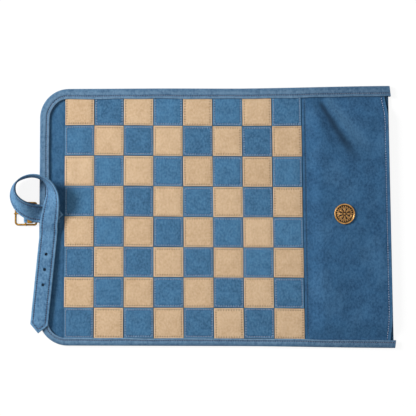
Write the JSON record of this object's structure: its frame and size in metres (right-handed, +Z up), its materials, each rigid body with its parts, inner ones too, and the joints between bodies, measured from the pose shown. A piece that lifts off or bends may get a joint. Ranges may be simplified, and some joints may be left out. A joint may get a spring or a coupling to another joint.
{
  "type": "roll-up chess set",
  "caption": "Leather game mat with sewn checkered squares, bound edges, a snap-closed end pocket and a buckled strap; it rolls up along its length from the pocket end.",
  "frame": {"origin": "centre of the playing field, on the upper face of the squares, 4 mm above the surface that the mat lies on", "axes": "+X along the roll towards the pocket, +Y across the roll, +Z up out of the playing face"},
  "size_m": [0.4581, 0.3081, 0.0277],
  "materials": {
    "tan_suede": "matt suede",
    "blue_suede": "matt suede",
    "base_leather": "matt suede",
    "binding_leather": "matt, turned edge",
    "pocket_leather": "matt suede",
    "strap_leather": "matt suede, stitched",
    "aged_brass": "antique, worn on the raised parts",
    "bright_brass": "polished"
  },
  "bodies": {
    "edge_flap": {"base_edge_flap": "base_leather", "binding_edge_flap": "binding_leather", "tan_squares_column_1": "tan_suede", "blue_squares_column_1": "blue_suede", "strap": "strap_leather", "buckle_tab": "strap_leather", "strap_keeper": "bright_brass"},
    "column_2": {"base_column_2": "base_leather", "binding_column_2": "binding_leather", "tan_squares_column_2": "tan_suede", "blue_squares_column_2": "blue_suede"},
    "column_3": {"base_column_3": "base_leather", "binding_column_3": "binding_leather", "tan_squares_column_3": "tan_suede", "blue_squares_column_3": "blue_suede"},
    "column_4": {"base_column_4": "base_leather", "binding_column_4": "binding_leather", "tan_squares_column_4": "tan_suede", "blue_squares_column_4": "blue_suede"},
    "column_5": {"base_column_5": "base_leather", "binding_column_5": "binding_leather", "tan_squares_column_5": "tan_suede", "blue_squares_column_5": "blue_suede"},
    "column_6": {"base_column_6": "base_leather", "binding_column_6": "binding_leather", "tan_squares_column_6": "tan_suede", "blue_squares_column_6": "blue_suede"},
    "column_7": {"base_column_7": "base_leather", "binding_column_7": "binding_leather", "tan_squares_column_7": "tan_suede", "blue_squares_column_7": "blue_suede"},
    "column_8": {"base_column_8": "base_leather", "binding_column_8": "binding_leather", "tan_squares_column_8": "tan_suede", "blue_squares_column_8": "blue_suede"},
    "pocket_inner": {"base_pocket_inner": "base_leather", "binding_pocket_inner": "binding_leather", "pocket_front_inner": "pocket_leather"},
    "pocket_middle": {"base_pocket_middle": "base_leather", "binding_pocket_middle": "binding_leather", "pocket_front_middle": "pocket_leather", "pocket_front_snap_patch": "pocket_leather", "snap_stud": "bright_brass", "snap_rivet": "bright_brass"},
    "pocket_mouth": {"base_pocket_mouth": "base_leather", "binding_pocket_mouth": "binding_leather", "pocket_front_mouth": "pocket_leather"},
    "snap": {"snap_cap": "aged_brass", "snap_socket": "bright_brass"},
    "strap_tail": {"strap_tail": "strap_leather"},
    "buckle": {"buckle_frame": "bright_brass"},
    "prong": {"buckle_prong": "bright_brass"}
  },
  "joints": [
    {"name": "roll_up", "type": "hinge", "parent": "edge_flap", "child": "column_2", "pos_m": [-0.1071, 0, 0.0013], "axis": [0, -1, 0], "range_deg": [0, 16]},
    {"name": "roll_column_3", "type": "hinge", "parent": "column_2", "child": "column_3", "pos_m": [-0.0714, 0, 0.0013], "axis": [0, -1, 0], "range_deg": [0, 30]},
    {"name": "roll_column_4", "type": "hinge", "parent": "column_3", "child": "column_4", "pos_m": [-0.0357, 0, 0.0013], "axis": [0, -1, 0], "range_deg": [0, 34]},
    {"name": "roll_column_5", "type": "hinge", "parent": "column_4", "child": "column_5", "pos_m": [0, 0, 0.0013], "axis": [0, -1, 0], "range_deg": [0, 38]},
    {"name": "roll_column_6", "type": "hinge", "parent": "column_5", "child": "column_6", "pos_m": [0.0357, 0, 0.0013], "axis": [0, -1, 0], "range_deg": [0, 42]},
    {"name": "roll_column_7", "type": "hinge", "parent": "column_6", "child": "column_7", "pos_m": [0.0714, 0, 0.0013], "axis": [0, -1, 0], "range_deg": [0, 46]},
    {"name": "roll_column_8", "type": "hinge", "parent": "column_7", "child": "column_8", "pos_m": [0.1071, 0, 0.0013], "axis": [0, -1, 0], "range_deg": [0, 50]},
    {"name": "roll_pocket_inner", "type": "hinge", "parent": "column_8", "child": "pocket_inner", "pos_m": [0.14315, 0, 0.0013], "axis": [0, -1, 0], "range_deg": [0, 54]},
    {"name": "roll_pocket_middle", "type": "hinge", "parent": "pocket_inner", "child": "pocket_middle", "pos_m": [0.1739, 0, 0.0055], "axis": [0, -1, 0], "range_deg": [0, 58]},
    {"name": "roll_pocket_mouth", "type": "hinge", "parent": "pocket_middle", "child": "pocket_mouth", "pos_m": [0.2103, 0, 0.0055], "axis": [0, -1, 0], "range_deg": [0, 62]},
    {"name": "snap_open", "type": "slide", "parent": "pocket_middle", "child": "snap", "axis": [0, 0, 1], "range_m": [0, 0.003], "deforming": ["pocket_front_snap_patch"]},
    {"name": "strap_tail_lift", "type": "hinge", "parent": "edge_flap", "child": "strap_tail", "pos_m": [-0.1612, -0.0213, 0.00375], "axis": [-0.9952, 0.0976, 0], "range_deg": [0, 75]},
    {"name": "buckle_tilt", "type": "hinge", "parent": "edge_flap", "child": "buckle", "pos_m": [-0.1896, 0.0029, -0.0009], "axis": [0, 1, 0], "range_deg": [0, 15]},
    {"name": "prong_lift", "type": "hinge", "parent": "buckle", "child": "prong", "pos_m": [-0.1896, 0.0029, -0.0009], "axis": [0, 1, 0], "range_deg": [0, 15]}
  ],
  "couplings": [
    {"joint": "roll_column_3", "follows": "roll_up", "ratio": 1.875},
    {"joint": "roll_column_4", "follows": "roll_up", "ratio": 2.125},
    {"joint": "roll_column_5", "follows": "roll_up", "ratio": 2.375},
    {"joint": "roll_column_6", "follows": "roll_up", "ratio": 2.625},
    {"joint": "roll_column_7", "follows": "roll_up", "ratio": 2.875},
    {"joint": "roll_column_8", "follows": "roll_up", "ratio": 3.125},
    {"joint": "roll_pocket_inner", "follows": "roll_up", "ratio": 3.375},
    {"joint": "roll_pocket_middle", "follows": "roll_up", "ratio": 3.625},
    {"joint": "roll_pocket_mouth", "follows": "roll_up", "ratio": 3.875}
  ]
}
